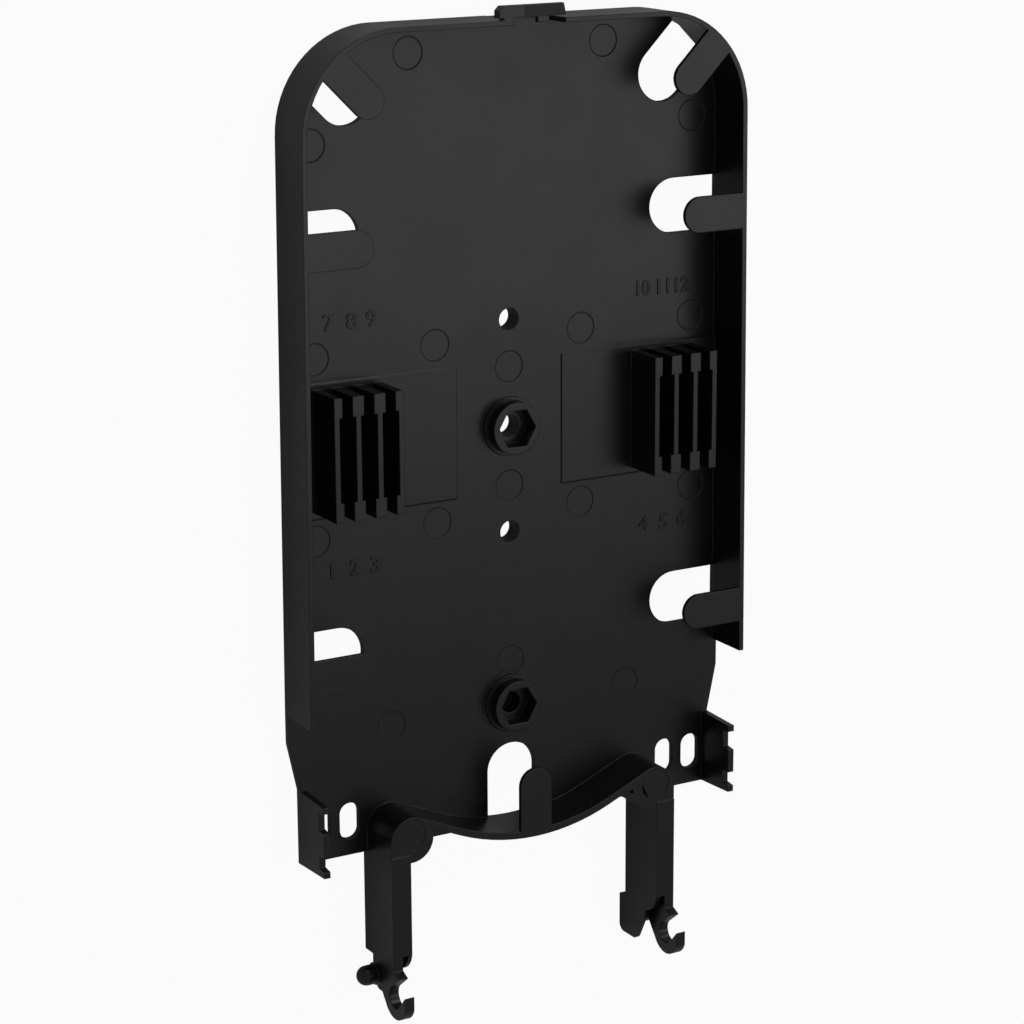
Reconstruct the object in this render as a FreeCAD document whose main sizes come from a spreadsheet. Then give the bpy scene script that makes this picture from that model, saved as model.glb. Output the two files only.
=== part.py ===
import FreeCAD, Part
import os
import Sketcher
from FreeCAD import Placement, Rotation, Vector

# Fibre splice tray: one injection moulding that lies on its back.
# X runs across the tray, +Y towards the catch, +Z up out of the tray.
# The origin is on the bore of the central nut boss, at the plane that the tray rests on.

# Every driving size: name, millimetres (counts have none), what it is.
SIZES = (
    ("standoff_height", 2.8, "standoffs behind the floor"),
    ("floor_thickness", 1.2, "floor plate"),
    ("wall_height", 9.9, "rim above the floor"),
    ("wall_thickness", 1.0, "side and top walls"),
    ("wall_half_width", 48.35, "outer face of a side wall at the top corner"),
    ("wall_end", 51.1, "square lower end of the side walls, below the origin"),
    ("top_edge", 79.2, "outer face of the top wall, above the origin"),
    ("corner_radius", 19.7, "outer radius of the two top corners"),
    ("flank_half_width", 49.3, "side wall's lower end, and the floor's flank below it"),
    ("flank_end", 56.7, "where the flank starts to taper"),
    ("foot_half_width", 47.2, "outer face of the side clips and foot of the floor"),
    ("foot_start", 66.5, "upper end of the side clips"),
    ("foot_edge", 81.7, "lower edge of the floor"),
    # Retaining tabs at the rim, and the core openings in the floor under them.
    ("tab_width", 7.05, "side and foot tabs"),
    ("tab_drop", 0.6, "side and foot tabs below the middle of their openings"),
    ("tab_thickness", 1.3, "retaining tab"),
    ("window_width", 10.9, "opening in the floor under a tab"),
    ("window_reach", 9.95, "round end's centre from the inner wall face"),
    ("window_undercut", 0.15, "square end of an opening, in under the wall"),
    ("window_upper", 40.1, "upper pair of side tabs"),
    ("window_lower", 40.6, "lower pair of side tabs, below the origin"),
    ("corner_window_reach", 9.6, "round end's centre from the inner corner face"),
    ("corner_window_shift", 0.4, "corner opening and tab, beside the corner's diagonal"),
    ("corner_tab_width", 6.6, "corner tab"),
    ("foot_window_y", 70.55, "centre of the foot opening's round end, below the origin"),
    # Splice combs.
    ("comb_height", 9.0, "fins above the floor"),
    ("comb_half_length", 11.9, "fins each way from the centre"),
    ("fin_thickness", 1.05, "comb fin"),
    ("fin_pitch", 4.5, "fin to fin"),
    ("fin_first", 28.5, "innermost fin from the centre line"),
    ("fin_count", 4, "fins in a comb"),
    ("fin_pad_width", 2.35, "thickened end of a fin"),
    ("fin_pad_length", 3.75, "thickened end of a fin"),
    ("insert_start", 11.8, "raised insert field from the centre line"),
    ("insert_half_length", 13.2, "raised insert field each way"),
    ("insert_rise", 0.3, "raised insert field above the floor"),
    ("insert_ramp", 0.9, "ramp at each end of the insert field"),
    ("lead_width", 0.9, "lead-in slope beside an innermost fin"),
    ("lead_depth", 1.6, "lead-in slope beside an innermost fin"),
    # Nut bosses, standoffs and fixing holes on the centre line.
    ("boss_height", 3.2, "nut boss above the floor"),
    ("boss_radius", 5.2, "nut boss"),
    ("collar_radius", 5.9, "collar at the foot of a nut boss"),
    ("collar_height", 0.7, "collar at the foot of a nut boss"),
    ("nut_flats", 7.2, "hexagonal recess across its flats"),
    ("bore_radius", 2.15, "bore under a nut, and the fixing holes"),
    ("standoff_radius", 3.6, "standoff behind each hole"),
    ("lower_boss", 56.6, "lower nut boss, below the origin"),
    ("blind_skin", 0.8, "skin that closes the lower boss behind"),
    ("hole_upper", 21.1, "upper fixing hole"),
    ("hole_lower", 21.3, "lower fixing hole, below the origin"),
    # Wave wall between the knuckles.
    ("wave_thickness", 1.45, "wave wall"),
    ("wave_radius", 42.5, "inner radius of the trough"),
    ("wave_trough", 80.4, "lowest point of its inner face, below the origin"),
    ("knuckle_radius", 4.65, "solid knuckle at each end of the wave"),
    ("knuckle_x", 28.0, "knuckle from the centre line"),
    ("knuckle_y", 77.2, "knuckle, below the origin"),
    ("gusset_reach", 8.0, "web between wave and right knuckle, from the knuckle's middle"),
    ("gusset_drop", 3.2, "lower corner of that web under the knuckle's middle"),
    ("gusset_hole", 0.4, "radius of the small hole in that web"),
    ("gusset_hole_depth", 3.0, "small hole in that web"),
    ("gusset_hole_reach", 5.5, "small hole, from the knuckle's middle"),
    # Hinge arms.
    ("arm_width", 4.2, "arm, across both plates"),
    ("arm_back", 1.8, "back edge of the outer plate behind the floor's front"),
    ("arm_proud", 0.15, "front of an arm above the knuckle"),
    ("arm_start", 80.2, "upper end of an arm, below the origin"),
    ("web_thickness", 1.2, "front web that joins the plates"),
    ("web_end", 101.0, "lower end of the front web, below the origin"),
    ("hook_plate", 2.1, "outer plate, which carries the hook"),
    ("pin_plate", 0.9, "inner plate, which carries the lobe and the pin"),
    ("hook_y", 109.0, "centre of the hook's throat, below the origin"),
    ("hook_z", 10.3, "centre of the hook's throat above the floor"),
    ("throat_radius", 2.25, "throat of the hook"),
    ("hook_radius", 4.5, "outside of the hook"),
    ("barb_y", 104.7, "tip of the hook's barb, below the origin"),
    ("barb_rise", 2.2, "tip of the hook's barb above the rim"),
    ("barb_slope", 0.9, "foot of the barb before its tip"),
    ("jaw_rise", 4.2, "flat jaw tip above the throat's centre"),
    ("jaw_mouth", 1.35, "inner corner of the jaw tip before the throat's centre"),
    ("heel_y", 102.9, "where the outer plate's back edge steps forward"),
    ("heel_z", 1.35, "outer plate's back edge beyond that step, above the floor"),
    ("heel_length", 1.9, "that stretch of the back edge"),
    ("pin_y", 107.1, "hinge pin, below the origin"),
    ("pin_z", 1.7, "hinge pin above the floor"),
    ("pin_radius", 2.0, "hinge pin"),
    ("pin_root", 0.3, "thicker root of the pin between the plates"),
    ("pin_reach", 3.75, "hinge pin beyond the outer plate"),
    ("lobe_start", 103.7, "upper end of the lobe's back, below the origin"),
    ("lobe_end", 112.8, "lower end of the lobe, below the origin"),
    ("lobe_shoulder", 5.85, "front of the lobe above the floor"),
    ("lobe_cut", 5.3, "round cut between the web and the lobe"),
    ("lobe_land", 1.0, "flat top of the lobe, and its nose"),
    ("lobe_nose", 2.85, "front of the lobe's nose above the floor"),
    ("lobe_round", 1.6, "rounded lower corner of the lobe"),
    # Side clips and the slots beside them.
    ("clip_thickness", 1.3, "side clip"),
    ("clip_height", 10.0, "side clip above the floor"),
    ("clip_notch", 2.0, "depth of a clip's notches"),
    ("clip_draft", 0.45, "ends of a side clip, drawn in towards its top"),
    ("clip_end_post", 1.7, "end post of a clip"),
    ("clip_middle_post", 4.8, "middle post of a clip"),
    ("clip_middle_y", 74.6, "middle post of a clip, below the origin"),
    ("clip_flare", 0.3, "slope at each side of a clip's notch"),
    ("tie_width", 4.25, "tie slot"),
    ("tie_length", 7.5, "tie slot, end to end"),
    ("tie_inner", 36.55, "inner tie slot from the centre line"),
    ("tie_outer", 42.9, "outer tie slot from the centre line"),
    ("tie_y", 74.7, "tie slots, below the origin"),
    # Catch outside the top wall.
    ("catch_left", 7.4, "left end of the catch bar"),
    ("catch_right", 7.0, "right end of the catch bar"),
    ("catch_gap_left", 4.3, "left end of the gap in the top wall"),
    ("catch_gap_right", 6.9, "right end of the gap in the top wall"),
    ("catch_offset", 0.45, "bar outside the top wall"),
    ("catch_width", 2.2, "bar, outwards"),
    ("catch_depth", 1.9, "bar, down from the rim"),
    ("catch_slope_start", 1.9, "left end of the bar's lead-in slope"),
    ("catch_slope", 0.85, "fall of the lead-in slope"),
    ("catch_neck", 2.1, "neck that joins the bar to the wall's rim"),
    ("catch_rib_x", 2.6, "middle of the rib under the bar"),
    ("catch_rib", 2.4, "rib under the bar"),
    ("catch_slot", 1.3, "slot in the floor inside the gap"),
    # Ejector marks.
    ("mark_radius", 3.3, "ejector mark on the floor"),
    ("knuckle_mark_radius", 2.8, "ejector mark on a knuckle"),
    ("knuckle_mark_y", 76.2, "ejector mark on a knuckle, below the origin"),
    ("mark_depth", 0.12, "ejector mark"),
)

# Ejector marks on the floor that come in pairs, left and right: x and y.
MARK_PAIRS = (
    (21.3, 73.3),
    (41.9, 57.6),
    (16.3, 17.7),
    (42.0, 17.7),
    (16.2, -17.4),
    (42.5, -17.4),
    (26.9, -56.9),
)
# Ejector marks on the centre line: y.
MARK_CENTRES = (11.8, -11.95, -47.9)

FLOOR_BACK = "size.standoff_height"
FLOOR = "size.standoff_height + size.floor_thickness"
RIM = "size.standoff_height + size.floor_thickness + size.wall_height"
WALL_INSIDE = "size.wall_half_width - size.wall_thickness"
TOP_INSIDE = "size.top_edge - size.wall_thickness"
CORNER_Y = "(size.top_edge - size.corner_radius)"


def fill_sheet(sheet):
    """Write each size into its own named cell."""
    for row, (name, value, meaning) in enumerate(SIZES, start=1):
        sheet.set(f"A{row}", str(value))
        sheet.setAlias(f"A{row}", name)
        sheet.set(f"B{row}", meaning)


def value_of(expression):
    """Millimetres that an expression of the sheet's sizes gives now."""
    return float(sheet.evalExpression(expression))


def origin_plane(role):
    """One of the body's own origin planes."""
    return next(item for item in body.Origin.OriginFeatures if item.Role == role)


class Outline:
    """A sketch whose points are expressions of the sheet, so it follows every size."""

    def __init__(self, name, lift="0", plane="XY_Plane", across="0", along="0", turn=0.0):
        self.sketch = body.newObject("Sketcher::SketchObject", name)
        self.sketch.AttachmentSupport = [(origin_plane(plane), "")]
        self.sketch.MapMode = "FlatFace"
        self.sketch.AttachmentOffset = Placement(Vector(), Rotation(Vector(0, 0, 1), turn))
        for axis, expression in zip("xyz", (across, along, lift)):
            self.sketch.setExpression(f"AttachmentOffset.Base.{axis}", expression)

    def constrain(self, kind, *places, size=None):
        """Add one constraint, bound to an expression where it has a size."""
        if size is None:
            self.sketch.addConstraint(Sketcher.Constraint(kind, *places))
            return
        index = self.sketch.addConstraint(Sketcher.Constraint(kind, *places, value_of(size)))
        self.sketch.setExpression(f"Constraints[{index}]", size)

    def place(self, geometry, point, x, y):
        """Hold a point of the sketch at two expressions."""
        self.constrain("DistanceX", -1, 1, geometry, point, size=x)
        self.constrain("DistanceY", -1, 1, geometry, point, size=y)

    def circle(self, x, y, radius):
        centre = Vector(value_of(x), value_of(y), 0)
        ring = self.sketch.addGeometry(Part.Circle(centre, Vector(0, 0, 1), value_of(radius)))
        self.place(ring, 3, x, y)
        self.constrain("Radius", ring, size=radius)
        return self

    def path(self, *steps):
        """Closed outline. A step is (x, y), reached by a line, or (x, y, radius, turn),
        reached by an arc under 180 degrees: turn 1 bends left on the way, -1 right."""
        corners = [Vector(value_of(step[0]), value_of(step[1]), 0) for step in steps]
        edges = []
        for number, step in enumerate(steps):
            start, end = corners[number - 1], corners[number]
            if len(step) == 2:
                edges.append(self.sketch.addGeometry(Part.LineSegment(start, end)))
                continue
            middle = arc_middle(start, end, value_of(step[2]), step[3])
            arc = self.sketch.addGeometry(Part.Arc(start, middle, end))
            edges.append(arc)
        # FreeCAD keeps every arc anticlockwise, so an arc that bends right starts at its end.
        enters = [2 if len(step) == 4 and step[3] < 0 else 1 for step in steps]
        leaves = [3 - point for point in enters]
        for number, step in enumerate(steps):
            following = (number + 1) % len(steps)
            self.constrain("Coincident", edges[number], leaves[number], edges[following], enters[following])
            self.place(edges[number], leaves[number], step[0], step[1])
            if len(step) == 4:
                self.constrain("Radius", edges[number], size=step[2])
        return self

    def rectangle(self, left, bottom, right, top):
        return self.path((left, bottom), (right, bottom), (right, top), (left, top))

    def tongue(self, square_end, round_end, half_width, y="0"):
        """Strip along the sketch's x with one square end and one full round end inwards."""
        far, near, half, level = (value_of(item) for item in (square_end, round_end, half_width, y))
        corners = (
            Vector(near, level + half, 0),
            Vector(far, level + half, 0),
            Vector(far, level - half, 0),
            Vector(near, level - half, 0),
        )
        sides = [self.sketch.addGeometry(Part.LineSegment(*pair)) for pair in zip(corners, corners[1:])]
        cap = self.sketch.addGeometry(Part.Arc(corners[0], Vector(near - half, level, 0), corners[3]))
        self.constrain("Coincident", sides[0], 2, sides[1], 1)
        self.constrain("Coincident", sides[1], 2, sides[2], 1)
        self.constrain("Tangent", cap, 1, sides[0], 1)
        self.constrain("Tangent", cap, 2, sides[2], 2)
        self.constrain("Horizontal", sides[0])
        self.constrain("Vertical", sides[1])
        self.constrain("Horizontal", sides[2])
        self.place(cap, 3, round_end, y)
        self.constrain("Radius", cap, size=half_width)
        self.constrain("DistanceX", -1, 1, sides[1], 1, size=square_end)
        return self

    def slot(self, x, y, length, width):
        """Upright slot with full round ends."""
        middle = Vector(value_of(x), value_of(y), 0)
        radius = value_of(width) / 2
        rise = value_of(length) / 2 - radius
        top, low, side = Vector(0, rise, 0), Vector(0, -rise, 0), Vector(radius, 0, 0)
        right = self.sketch.addGeometry(Part.LineSegment(middle + low + side, middle + top + side))
        left = self.sketch.addGeometry(Part.LineSegment(middle + top - side, middle + low - side))
        crown = Vector(0, rise + radius, 0)
        upper = self.sketch.addGeometry(Part.Arc(middle + top + side, middle + crown, middle + top - side))
        lower = self.sketch.addGeometry(Part.Arc(middle + low - side, middle - crown, middle + low + side))
        self.constrain("Tangent", right, 2, upper, 1)
        self.constrain("Tangent", upper, 2, left, 1)
        self.constrain("Tangent", left, 2, lower, 1)
        self.constrain("Tangent", lower, 2, right, 1)
        self.constrain("Equal", upper, lower)
        self.place(upper, 3, x, f"{y} + ({length} - {width}) / 2")
        self.place(lower, 3, x, f"{y} - ({length} - {width}) / 2")
        self.constrain("Radius", upper, size=f"{width} / 2")
        return self


def arc_middle(start, end, radius, turn):
    """Middle point of an arc that bends left (1) or right (-1) on its way from start to end."""
    chord = end - start
    half = chord.Length / 2
    sagitta = radius - (radius**2 - half**2) ** 0.5
    outward = Vector(chord.y, -chord.x, 0).normalize()
    return start + chord * 0.5 + outward * (sagitta * turn)


def pad(outline, name, length, reverse=False):
    """Extrude a sketch along its normal, or against it."""
    feature = body.newObject("PartDesign::Pad", name)
    feature.Profile = outline.sketch
    feature.setExpression("Length", length)
    feature.Reversed = reverse
    feature.Refine = False
    return feature


def cut(outline, name, depth=None, upward=False):
    """Pocket below a sketch, or above it, and check that it takes material away."""
    doc.recompute()
    before = body.Shape.Volume
    feature = body.newObject("PartDesign::Pocket", name)
    feature.Profile = outline.sketch
    feature.Reversed = upward
    feature.Refine = False
    if depth is None:
        feature.Type = "ThroughAll"
    else:
        feature.setExpression("Length", depth)
    doc.recompute()
    if body.Shape.Volume >= before:
        raise RuntimeError(f"{name} takes no material away")
    return feature


def inside_at(y):
    """Inner face of a side wall at a height: the walls draw apart slightly from the corners down."""
    spread = "(size.flank_half_width - size.wall_half_width)"
    return f"({WALL_INSIDE} + {spread} * ({CORNER_Y} - {y}) / ({CORNER_Y} + size.wall_end))"


def floor_and_wall():
    """Half of the floor plate with its tapered foot, and of the wall that rises from its edge."""
    corner_x = "size.wall_half_width - size.corner_radius"
    floor = Outline("floor_outline", FLOOR_BACK).path(
        ("0", "-size.foot_edge"),
        ("size.foot_half_width", "-size.foot_edge"),
        ("size.foot_half_width", "-size.foot_start"),
        ("size.flank_half_width", "-size.flank_end"),
        ("size.flank_half_width", "-size.wall_end"),
        ("size.wall_half_width", CORNER_Y),
        (corner_x, "size.top_edge", "size.corner_radius", 1),
        ("0", "size.top_edge"),
    )
    pad(floor, "floor_plate", "size.floor_thickness")
    wall = Outline("wall_outline", FLOOR).path(
        ("size.flank_half_width - size.wall_thickness", "-size.wall_end"),
        ("size.flank_half_width", "-size.wall_end"),
        ("size.wall_half_width", CORNER_Y),
        (corner_x, "size.top_edge", "size.corner_radius", 1),
        ("0", "size.top_edge"),
        ("0", TOP_INSIDE),
        (corner_x, TOP_INSIDE),
        (WALL_INSIDE, CORNER_Y, "size.corner_radius - size.wall_thickness", -1),
    )
    pad(wall, "wall", "size.wall_height")


def windows_and_tabs():
    """Retaining tabs at the rim, each over the opening that its mould core leaves."""
    corner = {"across": "size.wall_half_width - size.corner_radius", "along": CORNER_Y, "turn": 45.0}
    corner_inside = "size.corner_radius - size.wall_thickness"
    corner_end = f"{corner_inside} - size.corner_window_reach"
    windows = Outline("side_window_outline", FLOOR)
    tabs = Outline("side_tab_outline", RIM)
    for y in ("size.window_upper", "-size.window_lower"):
        inside = inside_at(y)
        end = f"{inside} - size.window_reach"
        windows.tongue(f"{inside} + size.window_undercut", end, "size.window_width / 2", y)
        root = f"{inside} + size.wall_thickness / 2"
        tabs.tongue(root, end, "size.tab_width / 2", f"{y} - size.tab_drop")
    cut(windows, "side_windows")
    pad(tabs, "side_tabs", "size.tab_thickness", reverse=True)
    shift = "size.corner_window_shift"
    window = Outline("corner_window_outline", FLOOR, **corner)
    cut(window.tongue(corner_inside, corner_end, "size.window_width / 2", shift), "corner_window")
    tab = Outline("corner_tab_outline", RIM, **corner)
    root = "size.corner_radius - size.wall_thickness / 2"
    tab.tongue(root, corner_end, "size.corner_tab_width / 2", shift)
    pad(tab, "corner_tab", "size.tab_thickness", reverse=True)


def foot_window_and_tab():
    """Half of the opening above the wave wall's trough, and of the tab over it."""
    for name, level, end, half, y in (
        ("window", FLOOR, "-size.wave_trough", "size.window_width / 2", "-size.foot_window_y"),
        (
            "tab",
            RIM,
            "-size.wave_trough - size.wave_thickness / 2",
            "size.tab_width / 2",
            "-size.foot_window_y - size.tab_drop",
        ),
    ):
        outline = Outline(f"foot_{name}_outline", level).path(
            ("0", end),
            (half, end),
            (half, y),
            ("0", f"{y} + {half}", half, 1),
        )
        if name == "window":
            cut(outline, "foot_window")
        else:
            pad(outline, "foot_tab", "size.tab_thickness", reverse=True)


def insert_field_and_comb():
    """Raised insert field and its comb of upright fins with thick ends."""
    field = Outline("insert_outline", "size.insert_start", "YZ_Plane", along=FLOOR).path(
        ("-size.insert_half_length", "0"),
        ("size.insert_half_length", "0"),
        ("size.insert_half_length - size.insert_ramp", "size.insert_rise"),
        ("size.insert_ramp - size.insert_half_length", "size.insert_rise"),
    )
    pad(field, "insert_field", f"{inside_at('0')} + size.wall_thickness / 2 - size.insert_start")
    comb = Outline("comb_outline", FLOOR)
    count = int(value_of("size.fin_count"))
    for number in range(count):
        comb_fin(comb, number, number == 0, number == count - 1)
    pad(comb, "comb", "size.comb_height")
    # Lead-in slope on the open side of the innermost fin, between its thick ends.
    reach = "(size.comb_half_length - size.fin_pad_length)"
    edge = "size.fin_first - size.fin_thickness / 2"
    slope = Outline("lead_in_outline", f"-{reach}", "XZ_Plane", along=FLOOR).path(
        (f"{edge} - size.lead_width", "0"),
        ("size.fin_first", "0"),
        ("size.fin_first", "size.comb_height"),
        (edge, "size.comb_height"),
        (f"{edge} - size.lead_width", "size.comb_height - size.lead_depth"),
    )
    pad(slope, "lead_in", f"2 * {reach}")


def comb_fin(outline, number, is_first, is_last):
    """One fin, thick at both ends. The first and last are thick only towards the comb."""
    centre = f"size.fin_first + {number} * size.fin_pitch"
    blade = "size.fin_thickness / 2"
    thick = "size.fin_pad_width / 2"
    end = "size.comb_half_length"
    step = "(size.comb_half_length - size.fin_pad_length)"
    left = f"{centre} - {thick}"
    right = f"{centre} + {thick}"
    blade_left = f"{centre} - {blade}"
    blade_right = f"{centre} + {blade}"
    steps_left = [(left, end), (left, step), (blade_left, step)]
    steps_left += [(blade_left, f"-{step}"), (left, f"-{step}"), (left, f"-{end}")]
    steps_right = [(right, f"-{end}"), (right, f"-{step}"), (blade_right, f"-{step}")]
    steps_right += [(blade_right, step), (right, step), (right, end)]
    if is_first:
        steps_left = [(blade_left, end), (blade_left, f"-{end}")]
    if is_last:
        steps_right = [(blade_right, f"-{end}"), (blade_right, end)]
    outline.path(*steps_left, *steps_right)


def wave_wall():
    """Half of the wall that dips between the knuckles: trough arc and straight run."""
    centre = "(size.wave_radius - size.wave_trough)"
    rise = f"({centre} + size.knuckle_y)"
    span = f"({rise}^2 + size.knuckle_x^2)"
    reach = "(size.wave_radius + size.knuckle_radius)"
    run = f"sqrt({span} - {reach}^2)"
    # Sine and cosine of the angle at which the straight run leaves the trough.
    sine = f"(({reach} * size.knuckle_x - {run} * {rise}) / {span})"
    cosine = f"(({reach} * {rise} + {run} * size.knuckle_x) / {span})"
    outer = "(size.wave_radius + size.wave_thickness)"
    inset = "(size.knuckle_radius - size.wave_thickness)"
    wall = Outline("wave_outline", FLOOR_BACK).path(
        ("0", "-size.wave_trough - size.wave_thickness"),
        (f"{outer} * {sine}", f"{centre} - {outer} * {cosine}", outer, 1),
        (f"size.knuckle_x - {inset} * {sine}", f"-size.knuckle_y + {inset} * {cosine}"),
        (
            f"size.knuckle_x - size.knuckle_radius * {sine}",
            f"-size.knuckle_y + size.knuckle_radius * {cosine}",
        ),
        (f"size.wave_radius * {sine}", f"{centre} - size.wave_radius * {cosine}"),
        ("0", "-size.wave_trough", "size.wave_radius", -1),
    )
    pad(wall, "wave", f"{RIM} - ({FLOOR_BACK})")


def knuckle_and_arm():
    """Knuckle, twin-plate arm, hook, lobe and hinge pin."""
    flank = "size.knuckle_x + size.knuckle_radius"
    inner = f"{flank} - size.arm_width"
    bottom = "-size.knuckle_y - size.knuckle_radius"
    full_height = f"{RIM} - ({FLOOR_BACK})"
    knuckle = Outline("knuckle_outline", FLOOR_BACK).path(
        (flank, bottom),
        (flank, "-size.knuckle_y"),
        ("size.knuckle_x", "-size.knuckle_y + size.knuckle_radius", "size.knuckle_radius", 1),
        ("size.knuckle_x - size.knuckle_radius", "-size.knuckle_y", "size.knuckle_radius", 1),
        ("size.knuckle_x", bottom, "size.knuckle_radius", 1),
    )
    pad(knuckle, "knuckle", full_height)
    mark = Outline("knuckle_mark_outline", RIM)
    mark.circle("size.knuckle_x", "-size.knuckle_mark_y", "size.knuckle_mark_radius")
    cut(mark, "knuckle_mark", "size.mark_depth")
    web = Outline("web_outline", f"{RIM} + size.arm_proud")
    web.rectangle(inner, "-size.web_end", flank, "-size.arm_start")
    pad(web, "front_web", "size.web_thickness", reverse=True)
    hook = Outline("hook_outline", f"{flank} - size.hook_plate", "YZ_Plane", along=FLOOR)
    pad(hook_profile(hook), "hook_plate", "size.hook_plate")
    lobe = Outline("lobe_outline", inner, "YZ_Plane", along=FLOOR)
    pad(lobe_profile(lobe), "lobe_plate", "size.pin_plate")
    hinge_pin(inner, flank)


def hook_profile(outline):
    """Outer plate, seen from the side: x is along the tray and y up from the floor."""
    front = "size.wall_height + size.arm_proud"
    # The throat is a slot at 45 degrees with a round end.
    offset = "size.throat_radius / sqrt(2)"
    outside = "size.hook_radius / sqrt(2)"
    jaw = "size.hook_z + size.jaw_rise"
    jaw_half = "sqrt(size.hook_radius^2 - size.jaw_rise^2)"
    return outline.path(
        ("-size.arm_start", "-size.arm_back"),
        ("-size.arm_start", front),
        ("-size.barb_y + size.barb_slope", front),
        ("-size.barb_y", "size.wall_height + size.barb_rise"),
        (f"-size.hook_y + {offset}", f"size.hook_z - {offset}"),
        (f"-size.hook_y - {offset}", f"size.hook_z - {offset}", "size.throat_radius", -1),
        (f"-size.hook_y - {offset}", f"size.hook_z + {offset}", "size.throat_radius", -1),
        ("-size.hook_y + size.jaw_mouth", jaw),
        (f"-size.hook_y - {jaw_half}", jaw),
        ("-size.hook_y - size.hook_radius", "size.hook_z", "size.hook_radius", 1),
        (f"-size.hook_y - {outside}", f"size.hook_z - {outside}", "size.hook_radius", 1),
        ("-size.heel_y - size.heel_length", "size.heel_z"),
        ("-size.heel_y", "size.heel_z"),
        ("-size.heel_y", "-size.arm_back"),
    )


def lobe_profile(outline):
    """Inner plate, whose lobe reaches back to the plane that the tray rests on."""
    rest = f"-({FLOOR})"
    front = "size.wall_height + size.arm_proud"
    round_start = "-size.lobe_end + size.lobe_round"
    return outline.path(
        ("-size.arm_start", "-size.arm_back"),
        ("-size.arm_start", front),
        ("-size.web_end", front),
        ("-size.pin_y + size.pin_radius", "size.lobe_shoulder", "size.lobe_cut", 1),
        ("-size.pin_y + size.lobe_land", "size.lobe_shoulder"),
        ("-size.lobe_end + size.lobe_land", "size.lobe_nose"),
        ("-size.lobe_end", "size.pin_z", "size.lobe_land * 2", 1),
        ("-size.lobe_end", f"{rest} + size.lobe_round"),
        (round_start, rest, "size.lobe_round", 1),
        ("-size.lobe_start - size.lobe_land", rest),
        ("-size.lobe_start", "-size.arm_back"),
    )


def hinge_pin(root, flank):
    """Round pin with a domed end that points outwards, thicker between the plates."""
    tip = f"{flank} + size.pin_reach"
    collar = "size.pin_radius + size.pin_root"
    outline = Outline("pin_outline", f"{FLOOR} + size.pin_z", along="-size.pin_y").path(
        (root, "0"),
        (tip, "0"),
        (f"{tip} - size.pin_radius", "size.pin_radius", "size.pin_radius", 1),
        (flank, "size.pin_radius"),
        (flank, collar),
        (root, collar),
    )
    feature = body.newObject("PartDesign::Revolution", "hinge_pin")
    feature.Profile = outline.sketch
    feature.ReferenceAxis = (outline.sketch, ["H_Axis"])
    feature.Angle = 360.0
    feature.Refine = False


def clip_and_tie_slots():
    """Notched side clip, and the two tie slots beside it."""
    clip = Outline("clip_outline", "size.foot_half_width - size.clip_thickness", "YZ_Plane", along=FLOOR)
    low = "size.clip_height - size.clip_notch"
    upper_post = "-size.foot_start - size.clip_end_post"
    lower_post = "-size.foot_edge + size.clip_end_post"
    middle_top = "-size.clip_middle_y + size.clip_middle_post / 2"
    middle_end = "-size.clip_middle_y - size.clip_middle_post / 2"
    clip.path(
        ("-size.foot_edge", "-size.floor_thickness"),
        ("-size.foot_start", "-size.floor_thickness"),
        ("-size.foot_start - size.clip_draft", "size.clip_height"),
        (upper_post, "size.clip_height"),
        (f"{upper_post} - size.clip_flare", low),
        (f"{middle_top} + size.clip_flare", low),
        (middle_top, "size.clip_height"),
        (middle_end, "size.clip_height"),
        (f"{middle_end} - size.clip_flare", low),
        (f"{lower_post} + size.clip_flare", low),
        (lower_post, "size.clip_height"),
        ("-size.foot_edge + size.clip_draft", "size.clip_height"),
    )
    pad(clip, "clip", "size.clip_thickness")
    ties = Outline("tie_outline", FLOOR)
    for x in ("size.tie_inner", "size.tie_outer"):
        ties.slot(x, "-size.tie_y", "size.tie_length", "size.tie_width")
    cut(ties, "tie_slots")


def other_half():
    """Mirror everything so far about the centre line."""
    feature = body.newObject("PartDesign::Mirrored", "both_halves")
    feature.TransformMode = "Whole shape"
    feature.MirrorPlane = (origin_plane("YZ_Plane"), [""])
    body.Tip = feature
    doc.recompute()


def right_gusset():
    """Web between the wave wall and the right knuckle, with a small hole in its front."""
    gusset_end = "size.knuckle_x - size.gusset_reach"
    gusset = Outline("gusset_outline", FLOOR_BACK).path(
        (gusset_end, "-size.knuckle_y"),
        (
            "size.knuckle_x - sqrt(size.knuckle_radius^2 - size.gusset_drop^2)",
            "-size.knuckle_y - size.gusset_drop",
        ),
        ("size.knuckle_x", "-size.knuckle_y"),
        ("size.knuckle_x", "-size.knuckle_y + size.wave_thickness"),
        (gusset_end, "-size.knuckle_y + size.wave_thickness"),
    )
    pad(gusset, "gusset", f"{RIM} - ({FLOOR_BACK})")
    hole = Outline("gusset_hole_outline", RIM)
    hole_y = "-size.knuckle_mark_y - 1.5 * size.gusset_hole"
    hole.circle("size.knuckle_x - size.gusset_hole_reach", hole_y, "size.gusset_hole")
    cut(hole, "gusset_hole", "size.gusset_hole_depth")


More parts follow.
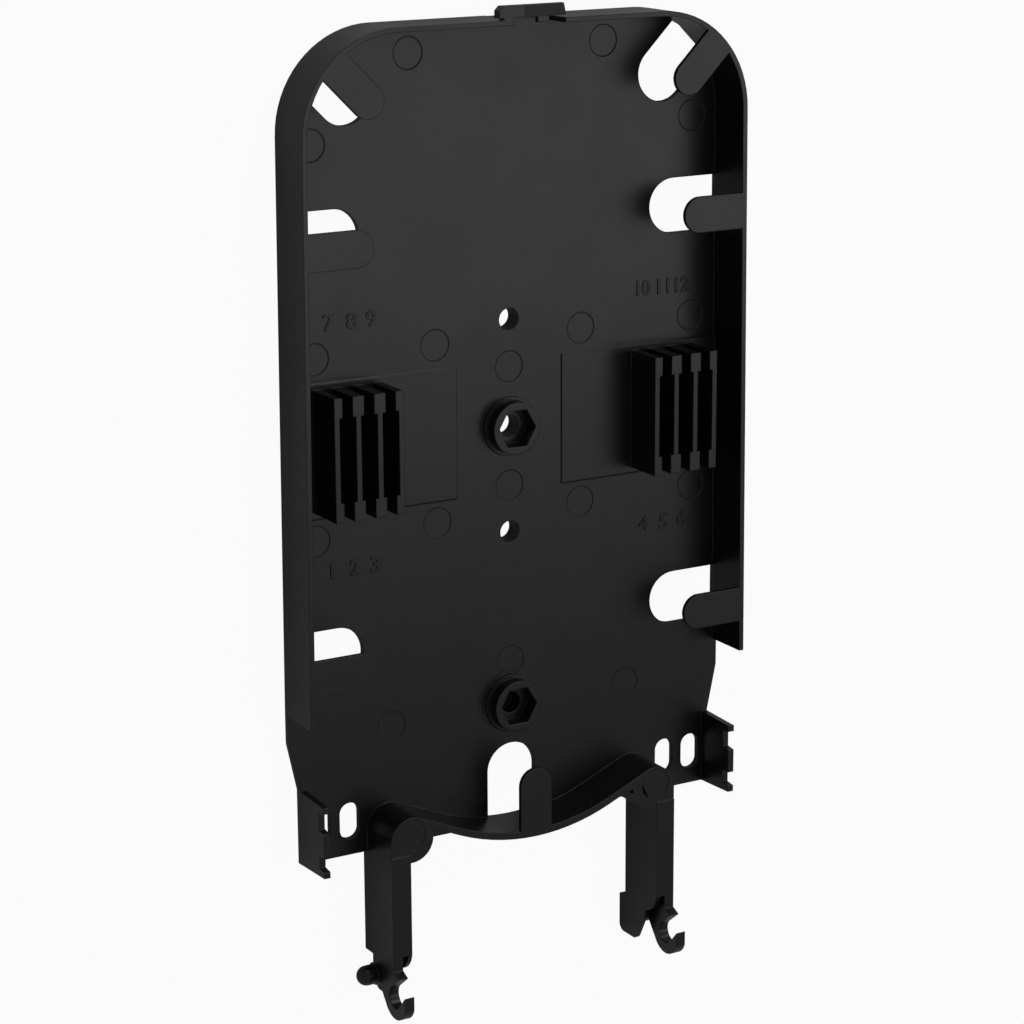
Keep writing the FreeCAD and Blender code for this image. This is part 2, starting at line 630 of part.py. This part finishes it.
def bosses_and_holes():
    """Two nut bosses and two fixing holes on the centre line, each on a standoff."""
    bosses = ("0", "-size.lower_boss")
    holes = ("0", "size.hole_upper", "-size.hole_lower")
    standoffs = Outline("standoff_outline")
    collars = Outline("collar_outline", FLOOR)
    rounds = Outline("boss_outline", FLOOR)
    nuts = Outline("nut_outline", FLOOR)
    bores = Outline("bore_outline", FLOOR)
    for y in (*holes, "-size.lower_boss"):
        standoffs.circle("0", y, "size.standoff_radius")
    for y in bosses:
        collars.circle("0", y, "size.collar_radius")
        rounds.circle("0", y, "size.boss_radius")
        nut_hexagon(nuts, y)
    for y in holes:
        bores.circle("0", y, "size.bore_radius")
    blind = Outline("blind_outline", FLOOR).circle("0", "-size.lower_boss", "size.bore_radius")
    pad(standoffs, "standoffs", FLOOR)
    pad(collars, "collars", "size.collar_height")
    pad(rounds, "bosses", "size.boss_height")
    cut(nuts, "nut_recesses", "size.boss_height", upward=True)
    cut(bores, "through_bores")
    cut(blind, "blind_bore", f"{FLOOR} - size.blind_skin")


def nut_hexagon(outline, y):
    """Hexagon with two of its flats square to the centre line."""
    point = "size.nut_flats / sqrt(3)"
    above = f"{y} + size.nut_flats / 2"
    below = f"{y} - size.nut_flats / 2"
    outline.path(
        (point, y),
        (f"{point} / 2", above),
        (f"-{point} / 2", above),
        (f"-{point}", y),
        (f"-{point} / 2", below),
        (f"{point} / 2", below),
    )


def catch():
    """Sprung bar outside a gap in the top wall, carried by the wall's rim at its left end."""
    bar_in = "size.top_edge + size.catch_offset"
    bar_out = f"{bar_in} + size.catch_width"
    gap = Outline("catch_gap_outline", RIM)
    gap.rectangle("-size.catch_gap_left", f"{TOP_INSIDE} - 1", "size.catch_gap_right", "size.top_edge + 1")
    cut(gap, "catch_gap", "size.wall_height")
    slot = Outline("catch_slot_outline", FLOOR)
    slot_in = "size.top_edge - size.catch_slot"
    slot.rectangle("-size.catch_gap_left", slot_in, "size.catch_gap_right", "size.top_edge")
    cut(slot, "catch_slot")
    ear = Outline("catch_ear_outline", RIM).path(
        ("-size.catch_left", bar_in),
        ("-size.catch_slope_start", bar_in),
        ("-size.catch_slope_start", bar_out),
        ("-size.catch_left + size.catch_slope", bar_out),
        ("-size.catch_left", f"{bar_out} - size.catch_slope"),
    )
    pad(ear, "catch_ear", "size.catch_depth", reverse=True)
    neck = Outline("catch_neck_outline", RIM)
    neck_end = "-size.catch_gap_left - size.catch_neck"
    neck.rectangle(neck_end, TOP_INSIDE, "-size.catch_gap_left", bar_in)
    pad(neck, "catch_neck", "size.catch_depth", reverse=True)
    # The rest of the bar slopes down outwards, so a cover's tongue rides over it.
    bar = Outline("catch_bar_outline", "-size.catch_slope_start", "YZ_Plane", along=RIM).path(
        (bar_in, "-size.catch_depth"),
        (bar_out, "-size.catch_depth"),
        (bar_out, "-size.catch_slope"),
        (bar_in, "0"),
    )
    pad(bar, "catch_bar", "size.catch_right + size.catch_slope_start")
    rib = Outline("catch_rib_outline", f"{RIM} - size.catch_slope")
    rib_start = "size.catch_rib_x - size.catch_rib / 2"
    rib.rectangle(rib_start, f"{bar_in} - size.catch_rib / 2", f"{rib_start} + size.catch_rib", bar_in)
    pad(rib, "catch_rib", "size.catch_depth - size.catch_slope", reverse=True)


def paired_marks():
    """Shallow round marks that the mould's ejectors leave on the floor."""
    marks = Outline("paired_mark_outline", FLOOR)
    for x, y in MARK_PAIRS:
        marks.circle(str(x), str(y), "size.mark_radius")
    cut(marks, "paired_marks", "size.mark_depth")


def centre_marks():
    """Ejector marks on the centre line. The last feature merges all flush faces."""
    marks = Outline("centre_mark_outline", FLOOR)
    for y in MARK_CENTRES:
        marks.circle("0", str(y), "size.mark_radius")
    cut(marks, "centre_marks", "size.mark_depth").Refine = True


def check_document():
    """Stop if any feature failed or the tray isn't one valid solid."""
    for item in doc.Objects:
        if {"Invalid", "Error"} & set(item.State):
            raise RuntimeError(f"{item.Label} failed: {item.State}")
    shape = body.Shape
    if shape.isNull() or not shape.isValid() or len(shape.Solids) != 1:
        raise RuntimeError(f"{body.Label} isn't one valid solid")


doc = FreeCAD.newDocument("splice_tray_document")
sheet = doc.addObject("Spreadsheet::Sheet", "size")
fill_sheet(sheet)
doc.recompute()
body = doc.addObject("PartDesign::Body", "splice_tray_body")
body.Label = "splice_tray"

floor_and_wall()
windows_and_tabs()
foot_window_and_tab()
paired_marks()
insert_field_and_comb()
wave_wall()
knuckle_and_arm()
clip_and_tie_slots()
other_half()
right_gusset()
bosses_and_holes()
catch()
centre_marks()

doc.recompute()
check_document()
os.makedirs("parts", exist_ok=True)
body.Shape.exportStep(f"parts/{body.Label}.step")
bounds = body.Shape.BoundBox
print(f"{body.Label}: {bounds.XLength:.2f} x {bounds.YLength:.2f} x {bounds.ZLength:.2f} mm")
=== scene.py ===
"""Looks of a fibre splice tray: satin black moulding, raised bay numbers, studio and camera."""

import logging
import math
from dataclasses import dataclass
from enum import Enum
from typing import Any, Union

import bmesh
import bpy
from mathutils import Matrix, Vector


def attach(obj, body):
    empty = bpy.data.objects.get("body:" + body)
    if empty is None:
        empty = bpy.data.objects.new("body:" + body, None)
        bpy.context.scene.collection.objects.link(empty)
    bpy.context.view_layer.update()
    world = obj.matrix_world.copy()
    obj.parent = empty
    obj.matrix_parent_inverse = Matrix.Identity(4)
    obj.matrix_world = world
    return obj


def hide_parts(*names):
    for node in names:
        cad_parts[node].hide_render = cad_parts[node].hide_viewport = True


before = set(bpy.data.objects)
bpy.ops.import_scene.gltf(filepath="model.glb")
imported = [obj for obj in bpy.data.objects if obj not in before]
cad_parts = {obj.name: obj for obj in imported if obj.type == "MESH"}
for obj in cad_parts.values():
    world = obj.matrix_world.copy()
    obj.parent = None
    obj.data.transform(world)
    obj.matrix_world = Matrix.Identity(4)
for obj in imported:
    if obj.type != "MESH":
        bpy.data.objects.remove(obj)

LOG = logging.getLogger("splice_tray")
MM = 0.001
NODE = "splice_tray"
FLOOR_HEIGHT = 4.0 * MM
RIM_HEIGHT = 13.9 * MM
Socket = bpy.types.NodeSocket
Number = Union[int, float]
Triple = tuple[float, float, float]
Pair = tuple[float, float]

WHITE = (1.0, 1.0, 1.0, 1.0)

# How near, in millimetres, a point of the solid lies to the size that names it.
SNAP = 0.02


@dataclass(frozen=True)
class Noise:
    """Cloudy pattern: the size of its clouds, and how fine and rough their edges are."""

    size: float
    detail: float
    roughness: float


@dataclass(frozen=True)
class Plastic:
    """Black plastic as it leaves a spark-eroded mould."""

    shade: Triple = (0.0030, 0.0030, 0.0031)
    roughness: float = 0.33
    roughness_spread: float = 0.10
    refraction: float = 1.5
    flow: Noise = Noise(14.0 * MM, 3.0, 0.55)
    grain: Noise = Noise(0.10 * MM, 2.0, 0.6)
    grain_depth: float = 0.004 * MM
    edge_radius: float = 0.30 * MM
    edge_samples: int = 6


# Darker, rougher plastic for the rings at the ejector marks' edges: painted shade standing in for
# the shade of each mark's small step.
PAINTED_RING_SHADE = Plastic(shade=(0.0015, 0.0015, 0.0015), roughness=0.75, roughness_spread=0.0)


@dataclass(frozen=True)
class StudioFloor:
    """Pale floor that shows almost white and keeps a soft shadow."""

    shade: Triple = (0.60, 0.60, 0.60)
    seen_white: float = 0.95
    mirrored_white: float = 0.05


class Maths:
    """A value socket that adds Math nodes when it is used in an expression."""

    def __init__(self, builder: "MaterialBuilder", value: Union[Socket, Number]) -> None:
        """Wrap a socket or a plain number."""
        self.builder = builder
        self.value = value

    def _apply(self, operation: str, other: Any, flip: bool = False) -> "Maths":
        """Add one Math node.

        Args:
            operation: The node's operation.
            other: The other operand.
            flip: True if this value comes second.

        Returns:
            The wrapped result.
        """
        values = [self.value, other.value if isinstance(other, Maths) else other]
        if flip:
            values.reverse()
        node = self.builder.add("ShaderNodeMath", {"operation": operation}, dict(enumerate(values)))
        return Maths(self.builder, node.outputs[0])

    def __add__(self, other: Any) -> "Maths":
        """Sum."""
        return self._apply("ADD", other)

    __radd__ = __add__

    def __sub__(self, other: Any) -> "Maths":
        """Difference."""
        return self._apply("SUBTRACT", other)

    def __rsub__(self, other: Any) -> "Maths":
        """Difference from a number."""
        return self._apply("SUBTRACT", other, flip=True)

    def __mul__(self, other: Any) -> "Maths":
        """Product."""
        return self._apply("MULTIPLY", other)

    __rmul__ = __mul__

    def larger(self, other: Any) -> "Maths":
        """Larger of two values."""
        return self._apply("MAXIMUM", other)


class MaterialBuilder:
    """One node tree, with a single method that makes every node."""

    def __init__(self, name: str) -> None:
        """Start an empty node tree.

        Args:
            name: The material's name.
        """
        self.material = bpy.data.materials.new(name)
        self.material.use_nodes = True
        self.tree = self.material.node_tree
        self.tree.nodes.clear()

    def add(self, kind: str, settings: dict[str, Any], inputs: dict[Any, Any]) -> bpy.types.Node:
        """Make a node, set it up, then fill or link its sockets.

        Args:
            kind: The node's type.
            settings: Properties of the node.
            inputs: Values or output sockets, by the input's name or number.

        Returns:
            The node.
        """
        node = self.tree.nodes.new(kind)
        for name, value in settings.items():
            setattr(node, name, value)
        for name, value in inputs.items():
            value = value.value if isinstance(value, Maths) else value
            if isinstance(value, Socket):
                self.tree.links.new(value, node.inputs[name])
            else:
                node.inputs[name].default_value = value
        return node

    def number(self, socket: Socket) -> Maths:
        """Wrap a socket for expressions."""
        return Maths(self, socket)

    def noise(self, place: Socket, pattern: Noise) -> Socket:
        """Add a cloudy pattern.

        Args:
            place: Where the pattern is read.
            pattern: Its size and roughness.

        Returns:
            The pattern's value.
        """
        inputs = {
            "Vector": place,
            "Scale": 1 / pattern.size,
            "Detail": pattern.detail,
            "Roughness": pattern.roughness,
        }
        return self.add("ShaderNodeTexNoise", {}, inputs).outputs["Fac"]

    def output(self, shader: Socket) -> bpy.types.Material:
        """Link the shader to the material's output.

        Args:
            shader: The shader's socket.

        Returns:
            The finished material.
        """
        self.add("ShaderNodeOutputMaterial", {}, {"Surface": shader})
        return self.material


def plastic_material(name: str, finish: Plastic) -> bpy.types.Material:
    """Make a black plastic.

    Args:
        name: The material's name.
        finish: Colour, gloss and grain of the plastic.

    Returns:
        The material.
    """
    build = MaterialBuilder(name)
    place = build.add("ShaderNodeTexCoord", {}, {}).outputs["Object"]
    flow = build.number(build.noise(place, finish.flow))
    grain = build.noise(place, finish.grain)
    roughness = (flow - 0.5) * finish.roughness_spread + finish.roughness
    edge = build.add(
        "ShaderNodeBevel", {"samples": finish.edge_samples}, {"Radius": finish.edge_radius}
    )
    bump = build.add(
        "ShaderNodeBump",
        {},
        {
            "Strength": 1.0,
            "Distance": finish.grain_depth,
            "Height": grain,
            "Normal": edge.outputs["Normal"],
        },
    )
    shader = build.add(
        "ShaderNodeBsdfPrincipled",
        {},
        {
            "Base Color": (*finish.shade, 1.0),
            "Roughness": roughness,
            "IOR": finish.refraction,
            "Normal": bump.outputs["Normal"],
        },
    )
    return build.output(shader.outputs["BSDF"])


def floor_material(finish: StudioFloor) -> bpy.types.Material:
    """Make the studio floor.

    Args:
        finish: Colour of the floor and the share of it that is plain white to the eye.

    Returns:
        The material.
    """
    build = MaterialBuilder("studio_floor")
    path = build.add("ShaderNodeLightPath", {}, {}).outputs
    mirrored = build.number(path["Is Glossy Ray"]).larger(
        build.number(path["Is Transmission Ray"])
    )
    seen = build.number(path["Is Camera Ray"]) * finish.seen_white
    white = seen.larger(mirrored * finish.mirrored_white)
    matt = build.add("ShaderNodeBsdfDiffuse", {}, {"Color": (*finish.shade, 1.0)})
    plain = build.add("ShaderNodeEmission", {}, {"Color": WHITE, "Strength": 1.0})
    mix = build.add(
        "ShaderNodeMixShader",
        {},
        {"Fac": white, 1: matt.outputs["BSDF"], 2: plain.outputs["Emission"]},
    )
    return build.output(mix.outputs["Shader"])


def make_mesh(
    name: str, shape: bmesh.types.BMesh, material: bpy.types.Material
) -> bpy.types.Mesh:
    """Turn a finished shape into a mesh and free the shape.

    Args:
        name: The mesh's name.
        shape: The shape.
        material: Its only material.

    Returns:
        The mesh.
    """
    mesh = bpy.data.meshes.new(name)
    shape.to_mesh(mesh)
    shape.free()
    mesh.materials.append(material)
    return mesh


def add_piece(name: str, mesh: bpy.types.Mesh) -> bpy.types.Object:
    """Make a piece of the tray that moves with it.

    Args:
        name: The piece's name.
        mesh: Its mesh, in place.

    Returns:
        The piece.
    """
    piece = bpy.data.objects.new(name, mesh)
    bpy.context.scene.collection.objects.link(piece)
    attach(piece, "root")
    return piece


class Axis(Enum):
    """Directions along which an edge can be moved, as indices of a point."""

    ACROSS = 0
    ALONG = 1
    UP = 2


@dataclass(frozen=True)
class Trim:
    """Fine fitting of one edge that the solid keeps plain, in millimetres."""

    name: str
    axis: Axis
    old: float
    new: float
    low: Triple = (-60.0, -120.0, 0.0)
    high: Triple = (60.0, 90.0, 20.0)

    def fit(self, shape: bmesh.types.BMesh) -> int:
        """Move the edge's points, on both sides of the centre line where it is doubled.

        Args:
            shape: The moulding.

        Returns:
            How many points moved.
        """
        count = 0
        for vert in shape.verts:
            place = vert.co / MM
            bounds = zip(self.low, place, self.high)
            value = place[self.axis.value]
            if all(low <= part <= high for low, part, high in bounds) and (
                abs(abs(value) - self.old) < SNAP
            ):
                vert.co[self.axis.value] = math.copysign(self.new, value) * MM
                count += 1
        return count


# Boxes that hold one corner of the web on the right knuckle, before and after its first move.
UPPER_CORNER = ((27.9, -77.0, 13.7), (28.1, -75.0, 14.0))
UPPER_CORNER_MOVED = ((27.9, -76.9, 13.7), (28.1, -76.8, 14.0))
LOWER_CORNER = ((27.9, -78.0, 13.7), (28.1, -77.0, 14.0))
LOWER_CORNER_MOVED = ((27.9, -77.9, 13.7), (28.1, -77.8, 14.0))

TRIMS = (
    Trim("underside of the tabs", Axis.UP, 12.60, 13.05),
    Trim(
        "ramp of the insert fields",
        Axis.ALONG,
        12.30,
        12.90,
        (-60.0, -20.0, 4.25),
        (60.0, 20.0, 4.35),
    ),
    Trim(
        "slope of the inner fins",
        Axis.ACROSS,
        27.075,
        27.90,
        (-30.0, -8.3, 4.25),
        (30.0, 8.3, 12.0),
    ),
    Trim("web's upper corner", Axis.ALONG, 75.75, 76.849, *UPPER_CORNER),
    Trim("web's lower corner", Axis.ALONG, 77.20, 77.842, *LOWER_CORNER),
    Trim("web's upper corner", Axis.ACROSS, 28.00, 25.276, *UPPER_CORNER_MOVED),
    Trim("web's lower corner", Axis.ACROSS, 28.00, 25.732, *LOWER_CORNER_MOVED),
)


@dataclass(frozen=True)
class SlotFill:
    """Narrow slot under the catch, closed by drawing out its inner face, in millimetres."""

    edge: float = 77.90
    depth: float = 1.22
    span: Pair = (-4.4, 7.0)
    top: float = 4.1

    def close(self, shape: bmesh.types.BMesh) -> int:
        """Draw the slot's inner face out over the slot.

        Args:
            shape: The moulding.

        Returns:
            How many faces were drawn out.
        """
        inner = [
            face for face in shape.faces if all(self._holds(vert.co / MM) for vert in face.verts)
        ]
        for face in inner:
            drawn = bmesh.ops.extrude_discrete_faces(shape, faces=[face])["faces"][0]
            bmesh.ops.translate(shape, verts=drawn.verts[:], vec=(0.0, self.depth * MM, 0.0))
        return len(inner)

    def _holds(self, place: Vector) -> bool:
        """Tell whether a point is on the slot's inner face."""
        level = abs(place.y - self.edge) < SNAP and place.z < self.top
        return level and self.span[0] < place.x < self.span[1]


@dataclass(frozen=True)
class EjectorMark:
    """One round mark, with its line and with its edge as the solid has it."""

    middle: Pair
    solid_middle: Pair
    height: float = FLOOR_HEIGHT
    radius: float = 3.06 * MM
    solid_radius: float = 3.30 * MM
    solid_depth: float = 0.2 * MM

    def fit(self, vert: bmesh.types.BMVert) -> bool:
        """Move a point of the mark's edge to the mark's line.

        Args:
            vert: Any point of the moulding.

        Returns:
            True if it was a point of this mark.
        """
        arm = vert.co.xy - Vector(self.solid_middle) * MM
        level = vert.co.z - self.height
        if not -self.solid_depth < level < SNAP / 2 * MM:
            return False
        if abs(arm.length - self.solid_radius) >= SNAP * MM:
            return False
        vert.co.xy = Vector(self.middle) * MM + arm * (self.radius / self.solid_radius)
        return True


# Middles of the ejector marks on the floor, in millimetres.
RIGHT_MARKS = (
    (21.3, 73.3),
    (41.9, 57.6),
    (16.3, 17.7),
    (42.0, 17.7),
    (16.2, -17.4),
    (42.5, -17.4),
    (26.9, -56.9),
)
CENTRE_MARKS = ((0.0, 11.8), (0.0, -11.95), (0.0, -47.9))
FLOOR_MARKS = (*RIGHT_MARKS, *((-x, y) for x, y in RIGHT_MARKS), *CENTRE_MARKS)
MARKS = (
    *(EjectorMark(middle, middle) for middle in FLOOR_MARKS),
    EjectorMark((-28.2, -76.2), (-28.0, -76.2), RIM_HEIGHT, 3.25 * MM, 2.80 * MM),
    EjectorMark((28.2, -76.2), (28.0, -76.2), RIM_HEIGHT, 3.25 * MM, 2.80 * MM),
)


@dataclass
class Moulding:
    """The tray itself: the CAD solid with merged faces and the plastic's finish."""

    material: bpy.types.Material
    trims: tuple[Trim, ...] = TRIMS
    marks: tuple[EjectorMark, ...] = MARKS
    catch_slot: SlotFill = SlotFill()
    merge_distance: float = 0.0005 * MM
    flat_angle: float = math.radians(0.1)
    smooth_angle: float = math.radians(15)

    def make(self) -> bpy.types.Object:
        """Copy the CAD mesh, merge its loose triangles and dress it.

        Returns:
            The piece that stands for the CAD node.
        """
        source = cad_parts[NODE]
        shape = bmesh.new()
        shape.from_mesh(source.data)
        bmesh.ops.remove_doubles(shape, verts=shape.verts, dist=self.merge_distance)
        self._fit(shape)
        bmesh.ops.dissolve_limit(
            shape,
            angle_limit=self.flat_angle,
            use_dissolve_boundaries=False,
            verts=shape.verts,
            edges=shape.edges,
            delimit={"NORMAL"},
        )
        LOG.info("filled slots: %d", self.catch_slot.close(shape))
        self._smooth(shape)
        piece = add_piece("moulding", make_mesh("moulding", shape, self.material))
        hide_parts(NODE)
        return piece

    def _fit(self, shape: bmesh.types.BMesh) -> None:
        """Fit the fine edges, then draw every mark's edge to the line round it.

        Args:
            shape: The moulding.
        """
        for trim in self.trims:
            LOG.info("%s: %d points", trim.name, trim.fit(shape))
        fitted = sum(any(mark.fit(vert) for mark in self.marks) for vert in shape.verts)
        LOG.info("ejector marks: %d points", fitted)

    def _smooth(self, shape: bmesh.types.BMesh) -> None:
        """Shade the curved faces smooth, and keep the edges between flat ones.

        Args:
            shape: The moulding.
        """
        for face in shape.faces:
            face.smooth = True
        for edge in shape.edges:
            bend = edge.calc_face_angle(math.pi)
            edge.smooth = len(edge.link_faces) == 2 and bend < self.smooth_angle


@dataclass(frozen=True)
class Numeral:
    """One raised number: its text, middle and width in millimetres, and its boldness."""

    text: str
    middle: Pair
    width: float
    boldness: float = 0.012


NUMERALS = (
    Numeral("7", (-38.9, 24.3), 2.3),
    Numeral("8", (-34.0, 24.3), 2.2),
    Numeral("9", (-29.9, 24.3), 2.1),
    Numeral("10", (30.8, 24.2), 3.1),
    Numeral("11", (35.5, 24.1), 2.7),
    Numeral("12", (39.9, 24.1), 3.2),
    Numeral("1", (-39.2, -23.7), 0.6),
    Numeral("2", (-34.4, -23.6), 2.0),
    Numeral("3", (-29.9, -23.6), 2.0),
    Numeral("4", (31.1, -24.0), 2.0, boldness=0.0),
    Numeral("5", (35.95, -24.2), 2.0),
    Numeral("6", (40.25, -24.3), 2.0),
)


@dataclass
class BayNumbers:
    """Raised numbers that count the splice bays."""

    material: bpy.types.Material
    numerals: tuple[Numeral, ...] = NUMERALS
    height: float = 3.1 * MM
    rise: float = 0.16 * MM
    # Depth of the plain letters, in their own units, before they get their rise.
    letter_depth: float = 0.5

    def make(self) -> bpy.types.Object:
        """Raise every number from the floor in one piece.

        Returns:
            The piece with all the numbers.
        """
        shape = bmesh.new()
        for numeral in self.numerals:
            self._raise_numeral(shape, numeral)
        return add_piece("bay_numbers", make_mesh("bay_numbers", shape, self.material))

    def _raise_numeral(self, shape: bmesh.types.BMesh, numeral: Numeral) -> None:
        """Add one number to the shape.

        Args:
            shape: The mesh that takes it.
            numeral: Its text, place and width.
        """
        letters = bpy.data.curves.new("numeral", "FONT")
        letters.body = numeral.text
        letters.extrude = self.letter_depth
        letters.offset = numeral.boldness
        holder = bpy.data.objects.new("numeral", letters)
        outline = bpy.data.meshes.new_from_object(holder)
        known = len(shape.verts)
        shape.from_mesh(outline)
        shape.verts.ensure_lookup_table()
        self._fit(shape.verts[known:], numeral)
        bpy.data.objects.remove(holder)
        bpy.data.curves.remove(letters)
        bpy.data.meshes.remove(outline)

    def _fit(self, verts: list[bmesh.types.BMVert], numeral: Numeral) -> None:
        """Give a number its size and stand it on the floor.

        Args:
            verts: The number's points.
            numeral: Its place and width.
        """
        low = Vector(map(min, zip(*(vert.co for vert in verts))))
        high = Vector(map(max, zip(*(vert.co for vert in verts))))
        size = Vector((numeral.width * MM, self.height, self.rise))
        foot = Vector((numeral.middle[0] * MM, numeral.middle[1] * MM, FLOOR_HEIGHT))
        for vert in verts:
            share = Vector((vert.co - low)[axis] / (high - low)[axis] for axis in range(3))
            share -= Vector((0.5, 0.5, 0.0))
            vert.co = foot + share * size


@dataclass
class PaintedMarkShade:
    """Thin dark rings of painted shade round the marks where the mould's ejectors met its face,
    standing in for the shade at each mark's edge step.
    """

    material: bpy.types.Material
    marks: tuple[EjectorMark, ...] = MARKS
    width: float = 0.15 * MM
    lift: float = 0.012 * MM
    steps: int = 96

    def make(self) -> bpy.types.Object:
        """Lay a flat ring round every mark.

        Returns:
            The piece with all the rings.
        """
        shape = bmesh.new()
        for mark in self.marks:
            middle = Vector(mark.middle) * MM
            place = Matrix.Translation((middle.x, middle.y, mark.height + self.lift))
            rims = []
            for radius in (mark.radius - self.width / 2, mark.radius + self.width / 2):
                ring = bmesh.ops.create_circle(
                    shape, segments=self.steps, radius=radius, matrix=place
                )
                rims += {edge for vert in ring["verts"] for edge in vert.link_edges}
            bmesh.ops.bridge_loops(shape, edges=rims)
        bmesh.ops.recalc_face_normals(shape, faces=shape.faces)
        return add_piece("painted_mark_shade", make_mesh("painted_mark_shade", shape, self.material))


@dataclass
class Camera:
    """Camera that looks down on the tray from its upper left."""

    turn: float = math.radians(30.289)
    lean: float = math.radians(14.806)
    roll: float = math.radians(-0.283)
    distance: float = 572.94 * MM
    aim: Pair = (1.142 * MM, -16.807 * MM)
    aim_height: float = 4.0 * MM
    lens: float = 103.45
    sensor: float = 36.0
    shift: Pair = (-0.0031, 0.0)
    clip: Pair = (0.01, 20.0)

    def make(self) -> bpy.types.Object:
        """Create the camera and make it the scene's own.

        Returns:
            The camera object.
        """
        data = bpy.data.cameras.new("camera")
        data.lens = self.lens
        data.sensor_width = self.sensor
        data.shift_x, data.shift_y = self.shift
        data.clip_start, data.clip_end = self.clip
        camera = bpy.data.objects.new("camera", data)
        back = Vector(
            (
                -math.sin(self.turn) * math.cos(self.lean),
                math.sin(self.lean),
                math.cos(self.turn) * math.cos(self.lean),
            )
        )
        level = Vector((math.cos(self.turn), 0.0, math.sin(self.turn)))
        axes = Matrix((level, back.cross(level), back)).transposed().to_4x4()
        axes = axes @ Matrix.Rotation(self.roll, 4, "Z")
        place = axes @ Vector((*self.aim, self.distance))
        place.z += self.aim_height
        camera.matrix_world = Matrix.Translation(place) @ axes
        bpy.context.scene.collection.objects.link(camera)
        bpy.context.scene.camera = camera
        return camera


@dataclass(frozen=True)
class Lamp:
    """One rectangular lamp. Its radiance is what a mirror shows of it."""

    name: str
    place: Triple
    aim: Triple
    size: Pair
    radiance: float

    def hang(self) -> bpy.types.Object:
        """Hang the lamp so that it faces its aim.

        Returns:
            The lamp object.
        """
        data = bpy.data.lights.new(self.name, "AREA")
        data.shape = "RECTANGLE"
        data.size, data.size_y = self.size
        data.energy = math.pi * self.size[0] * self.size[1] * self.radiance
        lamp = bpy.data.objects.new(self.name, data)
        lamp.location = self.place
        way = Vector(self.aim) - Vector(self.place)
        lamp.rotation_euler = way.to_track_quat("-Z", "Y").to_euler()
        bpy.context.scene.collection.objects.link(lamp)
        return lamp


LAMPS = (
    Lamp("ceiling_panel", (0.40, -0.03, 0.60), (0.40, -0.03, 0.0), (0.76, 0.24), 1.12),
    Lamp("key_lamp", (0.32, 0.95, 0.55), (0.0, 0.0, 0.0), (0.70, 0.45), 2.6),
)


@dataclass
class Studio:
    """Floor, world and soft lamps."""

    floor: bpy.types.Material
    lamps: tuple[Lamp, ...] = LAMPS
    floor_size: float = 6.0
    world_strength: float = 0.25

    def make(self) -> None:
        """Lay the floor and set the lights."""
        self._lay_floor()
        self._light_world()
        for lamp in self.lamps:
            lamp.hang()

    def _lay_floor(self) -> None:
        """Lay the floor at the plane that the tray rests on."""
        shape = bmesh.new()
        bmesh.ops.create_grid(shape, x_segments=1, y_segments=1, size=self.floor_size / 2)
        floor = bpy.data.objects.new("floor", make_mesh("floor", shape, self.floor))
        bpy.context.scene.collection.objects.link(floor)

    def _light_world(self) -> None:
        """Light the whole room evenly."""
        world = bpy.data.worlds.new("studio")
        world.use_nodes = True
        background = world.node_tree.nodes["Background"]
        background.inputs["Color"].default_value = WHITE
        background.inputs["Strength"].default_value = self.world_strength
        bpy.context.scene.world = world


def main() -> None:
    """Build and dress the tray, then light and frame it."""
    logging.basicConfig(level=logging.INFO, format="%(message)s")
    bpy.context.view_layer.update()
    bpy.context.scene.view_settings.view_transform = "Standard"
    plastic = plastic_material("satin_black_plastic", Plastic())
    # The second plastic is painted shade for the rings along the ejector marks' edges.
    painted_ring_shade = plastic_material("ejector_ring_painted_shade", PAINTED_RING_SHADE)
    for maker in (Moulding(plastic), BayNumbers(plastic), PaintedMarkShade(painted_ring_shade)):
        piece = maker.make()
        LOG.info("%s: %d faces", piece.name, len(piece.data.polygons))
    Studio(floor_material(StudioFloor())).make()
    camera = Camera().make()
    LOG.info("camera at %s", [round(v, 5) for v in camera.matrix_world.translation])


if __name__ == "__main__":
    main()
